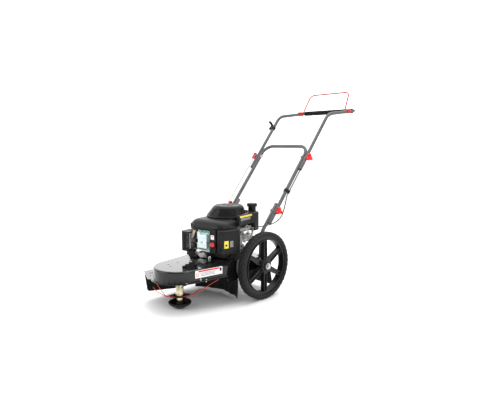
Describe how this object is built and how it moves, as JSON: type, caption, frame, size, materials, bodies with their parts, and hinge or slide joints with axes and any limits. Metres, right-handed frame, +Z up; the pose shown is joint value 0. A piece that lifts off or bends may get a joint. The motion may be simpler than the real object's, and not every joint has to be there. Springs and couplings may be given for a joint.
{
  "type": "wheeled string trimmer",
  "caption": "Walk-behind brush trimmer: engine on a steel deck, belt-driven string head with ground bead, high wheels and a folding handle with a squeeze bail.",
  "frame": {"origin": "on the ground under the middle of the whole machine", "axes": "+Z up, -Y forward (towards the string head), +X towards the machine's left side"},
  "size_m": [0.494, 1.453, 1.151],
  "materials": {
    "gloss_black": "gloss",
    "satin_black": "satin",
    "black_plastic": "matte",
    "wheel_plastic": "satin",
    "tyre_rubber": "matte",
    "flap_rubber": "matte",
    "belt_rubber": "matte",
    "grip_foam": "matte",
    "handle_grey": "satin",
    "red_rod": "satin",
    "red_plastic": "satin",
    "red_bulb": "gloss",
    "red_line": "satin",
    "zinc": "satin",
    "yellow_zinc": "satin",
    "steel": "satin",
    "cast_aluminium": "matte",
    "valve_silver": "satin",
    "cast_iron": "matte",
    "rope_grey": "matte",
    "cable_black": "satin",
    "label_white": "satin",
    "label_yellow": "satin"
  },
  "bodies": {
    "root": {"deck_shell": "gloss_black", "side_skirt": "gloss_black", "belt_cover": "gloss_black", "debris_flap": "flap_rubber", "rear_flap": "flap_rubber", "axle": "steel", "handle_posts": "handle_grey", "chassis_fasteners": "zinc", "spindle_housing": "cast_iron", "spindle_bearings": "steel", "drive_belt": "belt_rubber", "crankcase": "cast_aluminium", "cylinder_head": "cast_aluminium", "valve_cover": "valve_silver", "spark_plug": "black_plastic", "muffler": "steel", "muffler_guard": "satin_black", "blower_housing": "black_plastic", "recoil_cover": "black_plastic", "fuel_tank": "black_plastic", "air_filter_base": "black_plastic", "air_filter_cover": "black_plastic", "carburettor": "cast_aluminium", "control_bracket": "zinc", "starter_rope_lower": "rope_grey", "cable_lower": "cable_black"},
    "crank": {"crankshaft": "steel", "flywheel": "cast_iron", "engine_pulley": "steel"},
    "trimmer_head": {"spindle_shaft": "steel", "spindle_pulley": "steel", "head_hub": "yellow_zinc", "string_plates": "satin_black", "trimmer_strings": "red_line", "glide_bolt": "yellow_zinc"},
    "bead": {"ground_bead": "satin_black"},
    "recoil_drum": {"recoil_pulley": "black_plastic"},
    "fuel_cap": {"fuel_cap": "black_plastic"},
    "oil_cap": {"oil_cap": "black_plastic"},
    "primer": {"primer_bulb": "red_bulb"},
    "brake_lever": {"brake_lever": "zinc"},
    "left_wheel": {"left_rim": "wheel_plastic", "left_tyre": "tyre_rubber"},
    "right_wheel": {"right_rim": "wheel_plastic", "right_tyre": "tyre_rubber"},
    "lower_handle": {"lower_handle": "handle_grey", "upper_bolts": "zinc", "cable_clip": "black_plastic"},
    "upper_handle": {"upper_handle": "handle_grey", "foam_grip": "grip_foam", "bail_clamps": "red_plastic", "rope_guide": "black_plastic", "starter_rope_upper": "rope_grey", "cable_upper": "cable_black"},
    "bail": {"bail": "red_rod"},
    "starter_grip": {"starter_grip": "black_plastic"},
    "lower_knob_left": {"lower_knob_left": "red_plastic"},
    "lower_knob_right": {"lower_knob_right": "red_plastic"},
    "upper_knob_left": {"upper_knob_left": "red_plastic"},
    "upper_knob_right": {"upper_knob_right": "red_plastic"}
  },
  "joints": [
    {"name": "left_wheel_spin", "type": "hinge", "parent": "root", "child": "left_wheel", "pos_m": [0.208, -0.196, 0.178], "axis": [1, 0, 0], "continuous": true},
    {"name": "right_wheel_spin", "type": "hinge", "parent": "root", "child": "right_wheel", "pos_m": [-0.208, -0.196, 0.178], "axis": [1, 0, 0], "continuous": true},
    {"name": "crank_spin", "type": "hinge", "parent": "root", "child": "crank", "pos_m": [0, -0.256, 0.3], "axis": [0, 0, 1], "continuous": true},
    {"name": "head_spin", "type": "hinge", "parent": "root", "child": "trimmer_head", "pos_m": [0, -0.59, 0.1], "axis": [0, 0, 1], "continuous": true},
    {"name": "bead_spin", "type": "hinge", "parent": "trimmer_head", "child": "bead", "pos_m": [0, -0.59, 0.012], "axis": [0, 0, 1], "continuous": true},
    {"name": "starter_pull", "type": "slide", "parent": "upper_handle", "child": "starter_grip", "axis": [-0.246, 0.7643, 0.5961], "range_m": [0, 0.45], "stiffness_N_per_m": 12, "springref_m": -0.3},
    {"name": "recoil_turn", "type": "hinge", "parent": "root", "child": "recoil_drum", "pos_m": [0, -0.256, 0.465], "axis": [0, 0, 1], "range_deg": [0, 490]},
    {"name": "fuel_cap_turn", "type": "hinge", "parent": "root", "child": "fuel_cap", "pos_m": [0.07463, -0.14942, 0.47], "axis": [0, 0, 1], "range_deg": [0, 120]},
    {"name": "oil_cap_turn", "type": "hinge", "parent": "root", "child": "oil_cap", "pos_m": [-0.11121, -0.17813, 0.338], "axis": [0, 0, 1], "range_deg": [0, 360]},
    {"name": "primer_press", "type": "slide", "parent": "root", "child": "primer", "axis": [-0.1736, 0.9848, 0], "range_m": [0, 0.007], "stiffness_N_per_m": 600, "springref_m": -0.001},
    {"name": "lower_fold", "type": "hinge", "parent": "root", "child": "lower_handle", "pos_m": [0, -0.05958, 0.449], "axis": [1, 0, 0], "range_deg": [0, 125], "deforming": ["cable_lower", "starter_rope_lower"]},
    {"name": "upper_fold", "type": "hinge", "parent": "lower_handle", "child": "upper_handle", "pos_m": [0, 0.177, 0.736], "axis": [1, 0, 0], "range_deg": [-120, 0], "deforming": ["cable_upper", "starter_rope_upper"]},
    {"name": "bail_squeeze", "type": "hinge", "parent": "upper_handle", "child": "bail", "pos_m": [0, 0.604, 1.02], "axis": [1, 0, 0], "range_deg": [-42, 0], "stiffness_Nm_per_rad": 1.5, "springref_deg": 28.65},
    {"name": "brake_lever_turn", "type": "hinge", "parent": "root", "child": "brake_lever", "pos_m": [0.11273, -0.21581, 0.371], "axis": [0, 0, 1], "range_deg": [-17, 0]},
    {"name": "lower_knob_left_turn", "type": "hinge", "parent": "root", "child": "lower_knob_left", "pos_m": [0.19, -0.05958, 0.449], "axis": [1, 0, 0], "range_deg": [0, 720]},
    {"name": "lower_knob_right_turn", "type": "hinge", "parent": "root", "child": "lower_knob_right", "pos_m": [-0.19, -0.05958, 0.449], "axis": [-1, 0, 0], "range_deg": [0, 720]},
    {"name": "upper_knob_left_turn", "type": "hinge", "parent": "lower_handle", "child": "upper_knob_left", "pos_m": [0.21, 0.177, 0.736], "axis": [1, 0, 0], "range_deg": [0, 720]},
    {"name": "upper_knob_right_turn", "type": "hinge", "parent": "lower_handle", "child": "upper_knob_right", "pos_m": [-0.21, 0.177, 0.736], "axis": [-1, 0, 0], "range_deg": [0, 720]}
  ],
  "couplings": [
    {"joint": "head_spin", "follows": "crank_spin", "ratio": 0.83333},
    {"joint": "recoil_turn", "follows": "starter_pull", "rad_per_m": 18.5},
    {"joint": "brake_lever_turn", "follows": "bail_squeeze", "ratio": 0.4}
  ]
}
